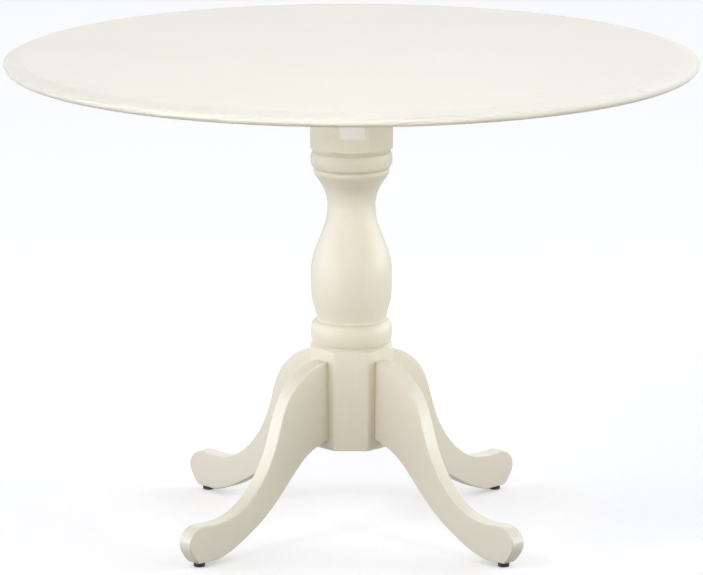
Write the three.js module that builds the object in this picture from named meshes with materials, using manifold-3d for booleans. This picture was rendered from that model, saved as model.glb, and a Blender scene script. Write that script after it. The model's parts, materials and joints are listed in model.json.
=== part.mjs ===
// Round drop-leaf table on a turned pedestal. Millimetres, +Z up, origin on the floor under the column.
import * as THREE from 'three';
import { mergeVertices } from 'three/addons/utils/BufferGeometryUtils.js';
import Module from 'manifold-3d';

const wasm = await Module();
wasm.setup();

// ---------- driving dimensions ----------
const GAP = 0.3;                  // clearance between neighbouring pieces
const TABLE_H = 749.3;            // floor to tabletop
const TOP_R = 533.4;              // tabletop radius
const TOP_T = 19;                 // tabletop thickness
const UNDER = TABLE_H - TOP_T;    // underside of the tabletop
const SEAM = 304.8;               // half width of the centre panel
const SEAM_GAP = 0.4;             // open seam between panel and leaf
const RULE_STEP = 3.5;            // vertical step at the top of the rule joint
const RULE_R = 12.5;              // ovolo radius; the leaf's cove is RULE_CLEAR larger
const RULE_CLEAR = 0.6;
const AXIS_Z = TABLE_H - RULE_STEP - RULE_R;   // height of the leaf's hinge axis, under the seam

const OCT_A = 63.5;               // half the octagon's width across flats
const BASE_Z = 137;               // underside of the octagonal base
const CAVITY_A = 42;              // half width of the octagonal cavity in the base
const CAVITY_TOP = 284;

const BATTEN_W = 38;
const BATTEN_H = 61;
const BATTEN_Y = 293;             // half length of the batten that runs front to back
const BATTEN_X = 340;             // half length of the batten that runs left to right
const BATTEN_TOP = UNDER - GAP;
const BATTEN_BOTTOM = BATTEN_TOP - BATTEN_H;

const LEG_T = 25;                 // leg thickness
const LEG_EDGE = 4;               // rounding of the leg's long edges
const LEG_ROOT = OCT_A + GAP;
const GLIDE_X = 327;              // radius of the glides' circle
const GLIDE_R = 9;
const GLIDE_H = 6.2;
const BOLT_Z = [182, 246];        // heights of the two bolts in each leg

const HINGE_X = 290;              // hinges sit this far either side of the middle
const HINGE_L = 50;
const PLATE_T = 1.5;              // hinge plate thickness
const KNUCKLE_R = 3;
const PIN_R = 1.4;
const FIXED_W = 25;               // width of the hinge's plate under the centre panel
const MOVING_W = 38;              // width of the hinge's plate under the leaf

const BRACKET_X = 180;            // leaf brackets sit this far either side of the middle
const PIVOT_DROP = 13.5;          // bracket pivots lie this far below the hinge axis
const PIVOT_IN = 130;             // fixed pivot, inward from the hinge axis
const PIVOT_OUT = 85;             // leaf pivot, outward from the hinge axis
const ARM_W = 15;
const ARM_T = 2.5;
const EAR_T = 2;
const STUD_R = 3;
const LAYER = 0.4;                // space between neighbouring arms

// ---------- helpers ----------
// A closed body from any geometry; the winding is put right if it faces inward.
function solid(source) {
  const bare = new THREE.BufferGeometry();
  bare.setAttribute('position', source.attributes.position.clone());
  if (source.index) bare.setIndex(source.index.clone());
  const merged = mergeVertices(bare, 1e-4);
  const p = merged.attributes.position;
  const tris = [];
  let volume = 0;
  const [a, b, c] = [new THREE.Vector3(), new THREE.Vector3(), new THREE.Vector3()];
  for (let i = 0; i < merged.index.count; i += 3) {
    const t = [0, 1, 2].map((k) => merged.index.getX(i + k));
    if (t[0] === t[1] || t[1] === t[2] || t[0] === t[2]) continue;
    tris.push(t);
    a.fromBufferAttribute(p, t[0]);
    b.fromBufferAttribute(p, t[1]);
    c.fromBufferAttribute(p, t[2]);
    volume += a.dot(b.cross(c));
  }
  const triVerts = new Uint32Array((volume < 0 ? tris.map((t) => [t[0], t[2], t[1]]) : tris).flat());
  return new wasm.Manifold(new wasm.Mesh({
    numProp: 3, vertProperties: new Float32Array(p.array), triVerts,
  }));
}

function toGeometry(body) {
  const mesh = body.getMesh();
  const g = new THREE.BufferGeometry();
  g.setAttribute('position', new THREE.BufferAttribute(new Float32Array(mesh.vertProperties), 3));
  g.setIndex(new THREE.BufferAttribute(new Uint32Array(mesh.triVerts), 1));
  return g;
}

const union = (...bodies) => bodies.reduce((a, b) => a.add(b));
const cut = (body, ...tools) => tools.reduce((a, b) => a.subtract(b), body);

function boxG(x0, x1, y0, y1, z0, z1) {
  const g = new THREE.BoxGeometry(x1 - x0, y1 - y0, z1 - z0);
  return g.translate((x0 + x1) / 2, (y0 + y1) / 2, (z0 + z1) / 2);
}
const box = (...limits) => solid(boxG(...limits));

// Cylinder along x, y or z from a to b, centred on (u, v) in the other two axes, taken in order.
function rod(axis, r, a, b, u, v, n = 12, turn = 0) {
  const g = new THREE.CylinderGeometry(r, r, b - a, n).rotateY(turn);
  const m = (a + b) / 2;
  if (axis === 'x') g.rotateZ(Math.PI / 2).translate(m, u, v);
  if (axis === 'y') g.translate(u, m, v);
  if (axis === 'z') g.rotateX(Math.PI / 2).translate(u, v, m);
  return solid(g);
}

// Body of revolution about Z from [radius, height] points that start and end on the axis.
function lathe(points, n) {
  const g = new THREE.LatheGeometry(points.map(([r, z]) => new THREE.Vector2(r, z)), n);
  return solid(g.rotateX(Math.PI / 2));
}

// Outline in the (y, z) plane, extruded along x from x0 to x1.
function prismX(points, x0, x1) {
  const shape = new THREE.Shape(points.map(([y, z]) => new THREE.Vector2(y, z)));
  const g = new THREE.ExtrudeGeometry(shape, { depth: x1 - x0, bevelEnabled: false });
  g.applyMatrix4(new THREE.Matrix4().makeBasis(
    new THREE.Vector3(0, 1, 0), new THREE.Vector3(0, 0, 1), new THREE.Vector3(1, 0, 0)));
  return solid(g.translate(x0, 0, 0));
}

// Regular octagon of half width a across flats, with flats facing the axes and the diagonals.
function octagon(a, z0, z1) {
  const r = a / Math.cos(Math.PI / 8);
  return rod('z', r, z0, z1, 0, 0, 8, Math.PI / 8);
}

function arc(cy, cz, r, from, to, n) {
  return Array.from({ length: n + 1 }, (_, i) => {
    const t = from + ((to - from) * i) / n;
    return [cy + r * Math.cos(t), cz + r * Math.sin(t)];
  });
}

// Half-round moulding from height z0 to z1, r0 and r1 at its ends and rMax in the middle.
function bead(z0, r0, z1, r1, rMax, n) {
  return Array.from({ length: n + 1 }, (_, i) => {
    const s = i / n;
    const base = r0 + (r1 - r0) * s;
    const t = Math.PI * s;
    return [base + (rMax - base) * Math.sin(t), (z0 + z1) / 2 - ((z1 - z0) / 2) * Math.cos(t)];
  });
}

function spline(knots, n) {
  const curve = new THREE.CatmullRomCurve3(knots.map(([u, v]) => new THREE.Vector3(u, v, 0)));
  return curve.getSpacedPoints(n).map((q) => [q.x, q.y]);
}

const table = new THREE.Group();
table.name = 'drop_leaf_pedestal_table';

const PAINT = { color: 0xece7dc, roughness: 0.42, metalness: 0 };
const STEEL = { color: 0xb4b2ac, roughness: 0.36, metalness: 0.9 };
const BRASS = { color: 0xb08d4f, roughness: 0.34, metalness: 0.9 };
const ZINC = { color: 0x9a9b9c, roughness: 0.4, metalness: 0.9 };
const BLACK = { color: 0x171615, roughness: 0.55, metalness: 0 };

function place(name, body, look) {
  const g = toGeometry(body);
  g.computeVertexNormals();
  const mesh = new THREE.Mesh(g, new THREE.MeshStandardMaterial(look));
  mesh.name = name;
  table.add(mesh);
}

const moved = (body, m) => solid(toGeometry(body).applyMatrix4(m));
const mirrored = (body, sx, sy) => moved(body, new THREE.Matrix4().makeScale(sx, sy, 1));
const turned = (body, angle) => moved(body, new THREE.Matrix4().makeRotationZ(angle));

// ---------- tabletop: centre panel and two leaves ----------
// Rim: flat top, shallow thumbnail, small ledge, lower bead and rounded lower edge.
const rim = [
  [0, UNDER], [TOP_R - 12, UNDER],
  ...arc(TOP_R - 12, UNDER + 9, 1, -Math.PI / 2, 0, 3).slice(1)
    .map(([r, z]) => [TOP_R - 12 + (r - TOP_R + 12) * 12, UNDER + 9 + (z - UNDER - 9) * 9]),
  [TOP_R - 0.9, UNDER + 11], [TOP_R - 3.4, UNDER + 11.8],
  ...[0, 0.25, 0.5, 0.75, 1].map((t) => [
    TOP_R - 3.2 * (1 - t) ** 2 - 5.9 * 2 * t * (1 - t) - 24.4 * t * t,
    (UNDER + 12.3) * (1 - t) ** 2 + (TABLE_H - 3.4) * 2 * t * (1 - t) + (TABLE_H - 0.4) * t * t,
  ]),
  [TOP_R - 25, TABLE_H],
  [0, TABLE_H],
];
const disc = lathe(rim, 72);

function centreOutline(side) {
  const quarter = arc(SEAM, AXIS_Z, RULE_R, Math.PI / 2, 0, 5);
  const half = [[SEAM, TABLE_H + 5], ...quarter, [SEAM + RULE_R, UNDER - 5]];
  return half.map(([y, z]) => [side * y, z]);
}
const centre = prismX([...centreOutline(1), ...centreOutline(-1).reverse()], -600, 600)
  .intersect(disc);

const COVE_R = RULE_R + RULE_CLEAR;
const leafPrism = prismX([
  [SEAM + SEAM_GAP, TABLE_H + 5],
  ...arc(SEAM, AXIS_Z, COVE_R, Math.acos(SEAM_GAP / COVE_R), 0, 5),
  [SEAM + COVE_R, UNDER - 5], [TOP_R + 5, UNDER - 5], [TOP_R + 5, TABLE_H + 5],
], -600, 600);
const rearLeaf = leafPrism.intersect(disc);

const hingeSides = [-1, 1];
const mortises = [];
for (const sx of hingeSides) {
  for (const sy of hingeSides) {
    const y = [sy * (SEAM - 7.5), sy * (SEAM + 4)].sort((p, q) => p - q);
    const x = sx * HINGE_X;
    mortises.push(box(x - HINGE_L / 2 - 2, x + HINGE_L / 2 + 2, y[0], y[1], UNDER - 1, AXIS_Z + 3.8));
  }
}

// ---------- battens, half-lapped at the middle, and the bolts up into the panel ----------
const w = BATTEN_W / 2;
const lapZ = BATTEN_TOP - BATTEN_H / 2;
const TOP_BOLTS = [
  ['front', 0, -225], ['rear', 0, 225], ['left', -260, 0], ['right', 260, 0],
];
const HEAD_Z = BATTEN_BOTTOM + 28;          // seat of the bolt heads inside the battens
const boltHoles = TOP_BOLTS.flatMap(([, x, y]) => [
  rod('z', 3.4, BATTEN_BOTTOM - 1, UNDER + 12, x, y, 10),
  rod('z', 8, BATTEN_BOTTOM - 1, HEAD_Z, x, y, 12),
]);
place('top_centre', cut(centre, ...mortises, ...boltHoles), PAINT);
place('leaf_rear', rearLeaf, PAINT);
place('leaf_front', mirrored(rearLeaf, 1, -1), PAINT);

const endCut = 2;                            // chamfer under the battens' ends
function batten(half) {
  return prismX([
    [-half, BATTEN_TOP], [-half, BATTEN_BOTTOM + endCut], [-half + endCut, BATTEN_BOTTOM],
    [half - endCut, BATTEN_BOTTOM], [half, BATTEN_BOTTOM + endCut], [half, BATTEN_TOP],
  ], -w, w);
}
place('batten_lengthwise', cut(batten(BATTEN_Y),
  box(-w - 1, w + 1, -w - GAP, w + GAP, BATTEN_BOTTOM - 1, lapZ + GAP / 2), ...boltHoles), PAINT);
place('batten_crosswise', cut(turned(batten(BATTEN_X), Math.PI / 2),
  box(-w - GAP, w + GAP, -w - 1, w + 1, lapZ - GAP / 2, BATTEN_TOP + 1), ...boltHoles), PAINT);

for (const [name, x, y] of TOP_BOLTS) {
  const head = rod('z', 6.6, HEAD_Z - 6.5, HEAD_Z - GAP, x, y, 6);
  place(`top_bolt_${name}`, union(head, rod('z', 3, HEAD_Z - 2, UNDER + 11, x, y, 8)), ZINC);
}

// ---------- pedestal column ----------
// Turned outline from the base up: shoulder, torus, vase, neck with a small bead, big bead, top block.
const turning = [
  [0, BASE_Z], [72, BASE_Z], [72, 290.2], [60.2, 296.8], [59.4, 298.6],
  ...bead(299, 59.4, 334, 53.8, 63.4, 7),
  ...spline([[53.6, 337.5], [56.6, 349], [60.6, 364], [62.8, 384], [63.4, 403], [62.5, 420],
    [58.7, 438], [52.6, 455], [45.2, 474], [39.8, 490], [37.4, 508], [37.3, 518], [39.6, 530],
    [43.9, 542], [49.6, 551.5], [53.6, 557.5], [57, 563], [58.8, 568], [58.4, 571.4], [57.2, 573]], 23),
  ...bead(573.4, 57.4, 599.4, 59.4, 63.4, 6),
  [60.4, 600.4], [61, 603.6], [72, 611.4], [72, BATTEN_TOP], [0, BATTEN_TOP],
];
const slotZ = BATTEN_BOTTOM - GAP;
const legAngles = { front_left: -135, front_right: -45, rear_right: 45, rear_left: 135 };
const legs = Object.entries(legAngles).map(([name, deg]) => [name, THREE.MathUtils.degToRad(deg)]);
const boltBores = legs.flatMap(([, a]) => BOLT_Z.map((z) => turned(rod('x', 4.4, 30, 80, 0, z, 8), a)));
place('pedestal_column', cut(
  lathe(turning, 32).intersect(octagon(OCT_A, BASE_Z - 1, UNDER)),
  octagon(CAVITY_A, BASE_Z - 1, CAVITY_TOP),
  box(-w - GAP, w + GAP, -80, 80, slotZ, UNDER),
  box(-80, 80, -w - GAP, w + GAP, slotZ, UNDER),
  ...boltBores,
), PAINT);

// ---------- legs, bolts and glides ----------
const legTop = [[50, 277.5], [68, 277], [87, 274], [104, 267.5], [120, 258], [134, 246.5], [146, 233],
  [154.5, 218], [160.5, 204], [166, 188], [171.5, 172], [178.5, 154], [188, 135.5], [200, 117.5],
  [214, 101.5], [230, 87], [248, 75.5], [268, 67.5], [288, 64], [308, 63.3], [328, 64.5], [341, 62],
  [350.5, 55], [356.8, 45], [357, 34], [352, 23.5], [344.5, 13.5], [338, 7.4]];
const legUnder = [[314, 7], [300, 7], [284, 10.5], [264, 17.5], [244, 27], [224, 38], [204, 50.3],
  [186, 64], [169.5, 78.5], [154, 93.5], [139.5, 108], [126.5, 120.5], [113, 131.5], [98, 140.5],
  [82, 147], [66, 152], [50, 156]];
function legBody() {
  const outline = [...spline(legTop, 30), ...spline(legUnder, 18)];
  const shape = new THREE.Shape(outline.map(([r, z]) => new THREE.Vector2(r, z)));
  const g = new THREE.ExtrudeGeometry(shape, {
    depth: LEG_T - 2 * LEG_EDGE, bevelThickness: LEG_EDGE, bevelSize: LEG_EDGE,
    bevelOffset: -LEG_EDGE, bevelSegments: 1,
  });
  g.rotateX(Math.PI / 2).translate(0, LEG_T / 2 - LEG_EDGE, 0);
  return cut(solid(g),
    box(0, LEG_ROOT, -40, 40, 100, 320),
    box(280, 380, -40, 40, -20, 6.5),
    rod('z', 3.3, 0, 24, GLIDE_X, 0, 8),
    ...BOLT_Z.map((z) => rod('x', 4.4, 50, 108, 0, z, 8)));
}
const leg = legBody();
const glide = lathe([[0, 0], [GLIDE_R - 1, 0], [GLIDE_R, 1], [GLIDE_R, GLIDE_H - 1.6],
  [GLIDE_R - 1.6, GLIDE_H], [3, GLIDE_H], [3, 22], [0, 22]], 12);
const legBolt = union(rod('x', 7.5, 35.6, CAVITY_A - GAP, 0, 0, 6), rod('x', 4, 40, 106, 0, 0, 8));
for (const [name, angle] of legs) {
  place(`leg_${name}`, turned(leg, angle), PAINT);
  const glideAt = new THREE.Matrix4().makeRotationZ(angle)
    .multiply(new THREE.Matrix4().makeTranslation(GLIDE_X, 0, 0));
  place(`glide_${name}`, moved(glide, glideAt), BLACK);
  BOLT_Z.forEach((z, i) => {
    const at = new THREE.Matrix4().makeRotationZ(angle)
      .multiply(new THREE.Matrix4().makeTranslation(0, 0, z));
    place(`leg_bolt_${i ? 'upper' : 'lower'}_${name}`, moved(legBolt, at), ZINC);
  });
}

// ---------- drop-leaf hinges ----------
// Built at the rear right; u is measured outward from the hinge axis. Two outer knuckles belong to
// the fixed plate and the middle one to the leaf's plate.
const PLATE_Z1 = UNDER - GAP;
const PLATE_Z0 = PLATE_Z1 - PLATE_T;
const third = HINGE_L / 4;
function knuckle(x0, x1, side) {
  const tab = [Math.min(0, side * 8), Math.max(0, side * 8)];
  return [
    rod('x', KNUCKLE_R, x0, x1, SEAM, AXIS_Z, 10),
    box(x0, x1, SEAM + tab[0] - 1.5, SEAM + tab[1] + (side < 0 ? 1.5 : 0), PLATE_Z0, PLATE_Z1),
    box(x0, x1, SEAM - 1.5, SEAM + 1.5, PLATE_Z0, AXIS_Z - 1),
  ];
}
function hingePlate(u0, u1, knuckles, side, holes) {
  const x0 = HINGE_X - HINGE_L / 2;
  const plate = box(x0, x0 + HINGE_L, SEAM + u0, SEAM + u1, PLATE_Z0, PLATE_Z1);
  const tabs = knuckles.flatMap(([a, b]) => knuckle(HINGE_X + a, HINGE_X + b, side));
  const bore = rod('x', PIN_R + GAP, x0 - 1, x0 + HINGE_L + 1, SEAM, AXIS_Z, 8);
  const screws = holes.map(([x, u]) =>
    rod('z', 2.2, PLATE_Z0 - 1, PLATE_Z1 + 1, HINGE_X + x, SEAM + u, 8));
  return cut(union(plate, ...tabs), bore, ...screws);
}
const half = HINGE_L / 2;
const fixedPlate = hingePlate(-7 - FIXED_W, -7, [[-half, -third - 0.2], [third + 0.2, half]], -1,
  [[-16, -24], [16, -24], [0, -16]]);
const movingPlate = hingePlate(7, 7 + MOVING_W, [[-third + 0.2, third - 0.2]], 1,
  [[-16, 20], [16, 20], [0, 36]]);
const pin = rod('x', PIN_R, HINGE_X - half - 0.5, HINGE_X + half + 0.5, SEAM, AXIS_Z, 8);

// ---------- folding leaf brackets ----------
// Pivots form a parallelogram with the hinge axis: fixed pivot, elbow, leaf pivot, hinge axis.
// Layers along x, from the middle of the table outward: leaf ear, outer arm, inner arm, fixed ear.
const pivotA = [SEAM - PIVOT_IN, AXIS_Z - PIVOT_DROP];
const pivotB = [SEAM + PIVOT_OUT, AXIS_Z - PIVOT_DROP];
const elbow = [pivotA[0] + pivotB[0] - SEAM, pivotA[1] + pivotB[1] - AXIS_Z];
const innerX = [BRACKET_X - LAYER - ARM_T, BRACKET_X - LAYER];
const outerX = [innerX[0] - LAYER - ARM_T, innerX[0] - LAYER];
const leafEarX = [outerX[0] - LAYER - EAR_T, outerX[0] - LAYER];
const fixedEarX = [BRACKET_X, BRACKET_X + EAR_T];

function arm([p, q], [x0, x1]) {
  const along = Math.atan2(q[1] - p[1], q[0] - p[0]);
  const outline = [
    ...arc(q[0], q[1], ARM_W / 2, along - Math.PI / 2, along + Math.PI / 2, 5),
    ...arc(p[0], p[1], ARM_W / 2, along + Math.PI / 2, along + 1.5 * Math.PI, 5),
  ];
  return cut(prismX(outline, x0, x1),
    ...[p, q].map(([y, z]) => rod('x', STUD_R + GAP, x0 - 1, x1 + 1, y, z, 10)));
}

// Angle plate: flange under the wood, ear beside the arm and a headed stud for the pivot.
function anglePlate([y, z], ear, away, armX) {
  const flange = away > 0 ? [ear[0], ear[0] + 20] : [ear[1] - 20, ear[1]];
  const earOutline = [[y - 26, PLATE_Z1], [y - 9, z - 4], ...arc(y, z, 9, Math.PI * 1.2, Math.PI * 1.8, 3),
    [y + 9, z - 4], [y + 26, PLATE_Z1]];
  const inner = away > 0 ? [armX[0] - LAYER - 1.4, armX[0] - LAYER] : [armX[1] + LAYER, armX[1] + LAYER + 1.4];
  const stud = [Math.min(inner[0], ear[0] + 0.5), Math.max(inner[1], ear[1] - 0.5)];
  return cut(union(
    box(flange[0], flange[1], y - 26, y + 26, PLATE_Z1 - EAR_T, PLATE_Z1),
    prismX(earOutline, ear[0], ear[1]),
    rod('x', STUD_R, stud[0], stud[1], y, z, 8),
    rod('x', 5.2, inner[0], inner[1], y, z, 8),
  ), ...[-17, 17].map((d) => rod('z', 2.2, PLATE_Z1 - EAR_T - 1, PLATE_Z1 + 1,
    ear[0] + away * 11 + (away > 0 ? 0 : EAR_T), y + d, 8)));
}
const fixedAngle = anglePlate(pivotA, fixedEarX, 1, innerX);
const leafAngle = anglePlate(pivotB, leafEarX, -1, outerX);
const innerArm = arm([pivotA, elbow], innerX);
const outerArm = arm([elbow, pivotB], outerX);
const rivet = union(
  rod('x', STUD_R, outerX[0] - 1.4, innerX[1] + 1.4, elbow[0], elbow[1], 8),
  rod('x', 5.2, outerX[0] - LAYER - 1.4, outerX[0] - LAYER, elbow[0], elbow[1], 8),
  rod('x', 5.2, innerX[1] + LAYER, innerX[1] + LAYER + 1.4, elbow[0], elbow[1], 8),
);

for (const [sideY, sy] of [['front', -1], ['rear', 1]]) {
  for (const [sideX, sx] of [['left', -1], ['right', 1]]) {
    const at = `${sideY}_${sideX}`;
    place(`hinge_fixed_${at}`, mirrored(fixedPlate, sx, sy), BRASS);
    place(`hinge_moving_${at}`, mirrored(movingPlate, sx, sy), BRASS);
    place(`hinge_pin_${at}`, mirrored(pin, sx, sy), BRASS);
    place(`bracket_fixed_${at}`, mirrored(fixedAngle, sx, sy), STEEL);
    place(`bracket_leaf_${at}`, mirrored(leafAngle, sx, sy), STEEL);
    place(`arm_inner_${at}`, mirrored(innerArm, sx, sy), STEEL);
    place(`arm_outer_${at}`, mirrored(outerArm, sx, sy), STEEL);
    place(`elbow_rivet_${at}`, mirrored(rivet, sx, sy), ZINC);
  }
}

export default table;
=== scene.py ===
# Round drop-leaf pedestal table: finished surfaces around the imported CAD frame.
# Metres, +Z up, origin on the floor under the column. Shapes are written in millimetres.
import json
import math
import random

import bmesh
import bpy
from mathutils import Matrix, Vector


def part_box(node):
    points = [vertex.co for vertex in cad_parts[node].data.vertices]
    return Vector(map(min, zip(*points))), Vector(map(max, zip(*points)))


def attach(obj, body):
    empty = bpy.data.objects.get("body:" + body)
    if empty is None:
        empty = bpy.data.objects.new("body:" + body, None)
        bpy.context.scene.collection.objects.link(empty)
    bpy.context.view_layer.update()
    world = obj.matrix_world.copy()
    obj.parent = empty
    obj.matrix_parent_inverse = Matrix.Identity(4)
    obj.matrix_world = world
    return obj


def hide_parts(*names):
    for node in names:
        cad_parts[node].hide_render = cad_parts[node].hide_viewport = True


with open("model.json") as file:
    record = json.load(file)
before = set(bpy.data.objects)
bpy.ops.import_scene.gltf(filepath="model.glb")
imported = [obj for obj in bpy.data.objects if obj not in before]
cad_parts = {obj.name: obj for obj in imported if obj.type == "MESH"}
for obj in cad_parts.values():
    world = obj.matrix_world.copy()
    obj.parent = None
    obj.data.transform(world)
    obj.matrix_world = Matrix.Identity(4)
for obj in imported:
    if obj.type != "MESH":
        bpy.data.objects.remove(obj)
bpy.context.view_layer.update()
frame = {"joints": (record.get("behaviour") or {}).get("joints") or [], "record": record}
record = frame["record"]
MM = 0.001
SIDES = [(f"{a}_{b}", sx, sy) for a, sy in (("front", -1), ("rear", 1))
         for b, sx in (("left", -1), ("right", 1))]
HALF_TURN_Y = Matrix.Rotation(math.pi / 2, 4, "Y")      # lays the Z axis along X

# ---------- sizes taken from the frame, in millimetres ----------
def corners(node):
    """Lowest and highest corner of a CAD node's box."""
    return [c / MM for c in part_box(node)]


def middle(node):
    lo, hi = corners(node)
    return (lo + hi) / 2


top_lo, top_hi = corners("top_centre")
col_lo, col_hi = corners("pedestal_column")
TOP, UNDER, RIM_R = top_hi.z, top_lo.z, top_hi.x
PIVOT = {j["name"]: [c / MM for c in j["pos_m"]] for j in frame["joints"]}
SEAM, AXIS_Z = PIVOT["leaf_rear_fold"][1:]
RULE_R = top_hi.y - SEAM              # quarter-round of the rule joint, about the hinge axis
COVE_R = RULE_R + 0.6                 # the leaf's cove over it
SEAM_GAP = corners("leaf_rear")[0].y - SEAM
OCT_A = col_hi.x                      # half the column's width across its flats
BASE_Z, BLOCK_TOP = col_lo.z, col_hi.z
GAP = 0.3                             # clearance between fitted pieces


# ---------- mesh helpers ----------
def mesh_from(name, verts, faces):
    me = bpy.data.meshes.new(name)
    me.from_pydata([Vector(v) * MM for v in verts], [], faces)
    me.validate()
    return me


def new_object(name, me):
    obj = bpy.data.objects.new(name, me)
    bpy.context.scene.collection.objects.link(obj)
    return obj


def tidy_mesh(me, angle=32):
    bm = bmesh.new()
    bm.from_mesh(me)
    bmesh.ops.remove_doubles(bm, verts=bm.verts, dist=2e-6)
    bmesh.ops.recalc_face_normals(bm, faces=bm.faces)
    bm.to_mesh(me)
    bm.free()
    me.polygons.foreach_set("use_smooth", [True] * len(me.polygons))
    me.set_sharp_from_angle(angle=math.radians(angle))


def applied(obj):
    """The object's mesh with its modifiers applied, in place of the old one."""
    bpy.context.view_layer.update()
    dg = bpy.context.evaluated_depsgraph_get()
    me = bpy.data.meshes.new_from_object(obj.evaluated_get(dg))
    obj.modifiers.clear()
    obj.data = me
    return obj


def boolean(obj, tools, operation="DIFFERENCE"):
    for tool in tools:
        mod = obj.modifiers.new("cut", "BOOLEAN")
        mod.operation, mod.solver, mod.object = operation, "EXACT", tool
    applied(obj)
    for tool in tools:
        bpy.data.objects.remove(tool)
    return obj


def bevel(obj, width, segments=3, angle=50):
    mod = obj.modifiers.new("bevel", "BEVEL")
    mod.width, mod.segments, mod.limit_method = width * MM, segments, "ANGLE"
    mod.angle_limit = math.radians(angle)
    mod.use_clamp_overlap = True
    return applied(obj)


def extrude(outline, lo, hi, along="x"):
    """Closed prism of an outline: (y, z) along x, (x, z) along y or (x, y) along z."""
    n = len(outline)
    put = {"x": lambda u, v, t: (t, u, v), "y": lambda u, v, t: (u, t, v),
           "z": lambda u, v, t: (u, v, t)}[along]
    verts = [put(u, v, t) for t in (lo, hi) for u, v in outline]
    faces = [list(range(n)), list(range(2 * n - 1, n - 1, -1))]
    faces += [(i, i + n, (i + 1) % n + n, (i + 1) % n) for i in range(n)]
    me = mesh_from("prism", verts, faces)
    tidy_mesh(me)
    return new_object("prism", me)


def box(x0, x1, y0, y1, z0, z1):
    return extrude([(x0, y0), (x1, y0), (x1, y1), (x0, y1)], z0, z1, "z")


def ringed(name, angles, rings):
    """Closed skin about Z; a ring is (height, radius at an angle), or (height, None) on the axis."""
    n = len(angles)
    verts, rows, faces = [], [], []
    for z, radius in rings:
        if radius is None:
            rows.append([len(verts)] * n)
            verts.append((0, 0, z))
            continue
        rows.append(list(range(len(verts), len(verts) + n)))
        for t in angles:
            r = radius(t)
            verts.append((r * math.cos(t), r * math.sin(t), z))
    for a, b in zip(rows, rows[1:]):
        for k in range(n):
            quad = [a[k], a[(k + 1) % n], b[(k + 1) % n], b[k]]
            face = [v for i, v in enumerate(quad) if v not in quad[:i]]
            if len(face) > 2:
                faces.append(face)
    me = mesh_from(name, verts, faces)
    tidy_mesh(me)
    return new_object(name, me)


def lathe(profile, n=96, name="turned"):
    """Body of revolution about Z from (radius, height) points; it starts and ends on the axis."""
    rings = [(z, None if r < 1e-6 else lambda t, r=r: r) for r, z in profile]
    return ringed(name, [math.tau * k / n for k in range(n)], rings)


def arc(cu, cv, r, start, end, n, rv=None):
    """Points of an arc, or of an ellipse with second half-axis rv; angles in degrees."""
    pts = []
    for i in range(n + 1):
        t = math.radians(start + (end - start) * i / n)
        pts.append((cu + r * math.cos(t), cv + (rv or r) * math.sin(t)))
    return pts


def spline(knots, per=6):
    """Smooth curve through the knots, with centripetal spacing."""
    pts = [Vector(k) for k in knots]
    pts = [pts[0] * 2 - pts[1]] + pts + [pts[-1] * 2 - pts[-2]]
    out = []
    for p0, p1, p2, p3 in zip(pts, pts[1:], pts[2:], pts[3:]):
        t0 = 0
        t1 = t0 + (p1 - p0).length ** 0.5
        t2 = t1 + (p2 - p1).length ** 0.5
        t3 = t2 + (p3 - p2).length ** 0.5
        for i in range(per):
            t = t1 + (t2 - t1) * i / per
            a1 = p0 * ((t1 - t) / (t1 - t0)) + p1 * ((t - t0) / (t1 - t0))
            a2 = p1 * ((t2 - t) / (t2 - t1)) + p2 * ((t - t1) / (t2 - t1))
            a3 = p2 * ((t3 - t) / (t3 - t2)) + p3 * ((t - t2) / (t3 - t2))
            b1 = a1 * ((t2 - t) / (t2 - t0)) + a2 * ((t - t0) / (t2 - t0))
            b2 = a2 * ((t3 - t) / (t3 - t1)) + a3 * ((t - t1) / (t3 - t1))
            out.append(tuple(b1 * ((t2 - t) / (t2 - t1)) + b2 * ((t - t1) / (t2 - t1))))
    out.append(tuple(knots[-1]))
    return out


def bead(z0, r0, z1, r1, r_max, n=16):
    """Half-round moulding from height z0 to z1."""
    pts = []
    for i in range(n + 1):
        s = i / n
        base = r0 + (r1 - r0) * s
        t = math.pi * s
        pts.append((base + (r_max - base) * math.sin(t),
                    (z0 + z1) / 2 - (z1 - z0) / 2 * math.cos(t)))
    return pts


def move(obj, matrix):
    obj.data.transform(matrix)
    if matrix.determinant() < 0:
        obj.data.flip_normals()
    return obj


def turn_z(angle):
    return Matrix.Rotation(math.radians(angle), 4, "Z")


def shift(x=0, y=0, z=0):
    """Translation in millimetres."""
    return Matrix.Translation((x * MM, y * MM, z * MM))


def copy_of(obj, matrix=Matrix.Identity(4)):
    return move(new_object(obj.name, obj.data.copy()), matrix)


def joined(objs):
    """One object in place of several."""
    bm = bmesh.new()
    for o in objs:
        bm.from_mesh(o.data)
    me = bpy.data.meshes.new("joined")
    bm.to_mesh(me)
    bm.free()
    for o in objs:
        bpy.data.objects.remove(o)
    return new_object("joined", me)


def level_normals(obj):
    """Shading normals that follow the large faces, so flat faces beside roundings stay flat."""
    mod = obj.modifiers.new("normals", "WEIGHTED_NORMAL")
    mod.keep_sharp = True
    return applied(obj)


def finish_piece(obj, name, body, material, nodes=(), angle=32):
    tidy_mesh(obj.data, angle)
    level_normals(obj)
    obj.name = name
    obj.data.name = name
    obj.data.materials.clear()
    obj.data.materials.append(material)
    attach(obj, body)
    if nodes:
        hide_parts(*nodes)
    return obj


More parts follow.
